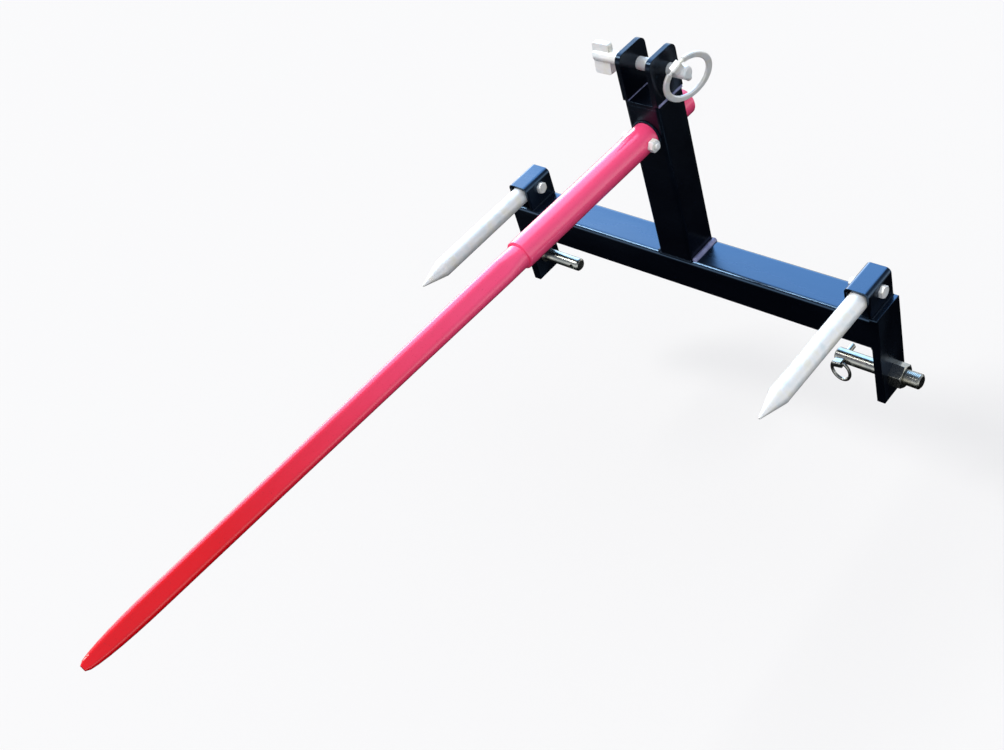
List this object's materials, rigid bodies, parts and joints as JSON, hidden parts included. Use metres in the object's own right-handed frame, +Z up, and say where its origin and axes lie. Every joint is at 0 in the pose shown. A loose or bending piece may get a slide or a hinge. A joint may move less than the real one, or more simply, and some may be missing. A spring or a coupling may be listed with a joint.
{
  "type": "bale spear",
  "caption": "Tractor-mounted bale spear: square-tube frame for a three-point hitch with a long forged main spear, short side spears, hitch pins and linch pins.",
  "frame": {"origin": "middle of the lower hitch axis, halfway between the two lower hitch pins", "axes": "+X along the lower hitch axis, -Y along the spears away from the tractor, +Z up"},
  "size_m": [0.77, 1.1132, 0.515],
  "materials": {
    "black_paint": "gloss",
    "red_enamel": "gloss",
    "zinc_plate": "satin"
  },
  "bodies": {
    "spear_frame": {"crossbar": "black_paint", "mast": "black_paint", "mast_cap": "black_paint", "spear_sleeve": "red_enamel", "main_spear": "red_enamel", "spear_bolt": "zinc_plate", "spear_bolt_nut": "zinc_plate", "end_plate_left": "black_paint", "ear_left": "black_paint", "side_bracket_left": "black_paint", "side_spear_left": "zinc_plate", "bracket_bolt_left": "zinc_plate", "bracket_nut_left": "zinc_plate", "lower_pin_left": "zinc_plate", "lower_pin_nut_left": "zinc_plate", "end_plate_right": "black_paint", "ear_right": "black_paint", "side_bracket_right": "black_paint", "side_spear_right": "zinc_plate", "bracket_bolt_right": "zinc_plate", "bracket_nut_right": "zinc_plate", "lower_pin_right": "zinc_plate", "lower_pin_nut_right": "zinc_plate"},
    "top_pin": {"top_link_pin": "zinc_plate"},
    "top_linch": {"top_linch_pin": "zinc_plate"},
    "top_ring": {"top_linch_ring": "zinc_plate"},
    "lower_linch": {"lower_linch_pin": "zinc_plate"},
    "lower_ring": {"lower_linch_ring": "zinc_plate"}
  },
  "joints": [
    {"name": "top_pin_turn", "type": "hinge", "parent": "spear_frame", "child": "top_pin", "pos_m": [0, 0.01, 0.444], "axis": [1, 0, 0], "continuous": true},
    {"name": "top_linch_pull", "type": "slide", "parent": "top_pin", "child": "top_linch", "axis": [0, -0.5736, 0.8192], "range_m": [0, 0.036]},
    {"name": "top_ring_swing", "type": "hinge", "parent": "top_linch", "child": "top_ring", "pos_m": [0.05, 0.00099, 0.45686], "axis": [-0.4067, -0.7483, -0.524], "range_deg": [0, 120]},
    {"name": "lower_linch_pull", "type": "slide", "parent": "spear_frame", "child": "lower_linch", "axis": [0, -1, 0], "range_m": [0, 0.04]},
    {"name": "lower_ring_swing", "type": "hinge", "parent": "lower_linch", "child": "lower_ring", "pos_m": [0.261, -0.0167, 0], "axis": [0.9848, 0, 0.1736], "range_deg": [-150, 10]}
  ]
}
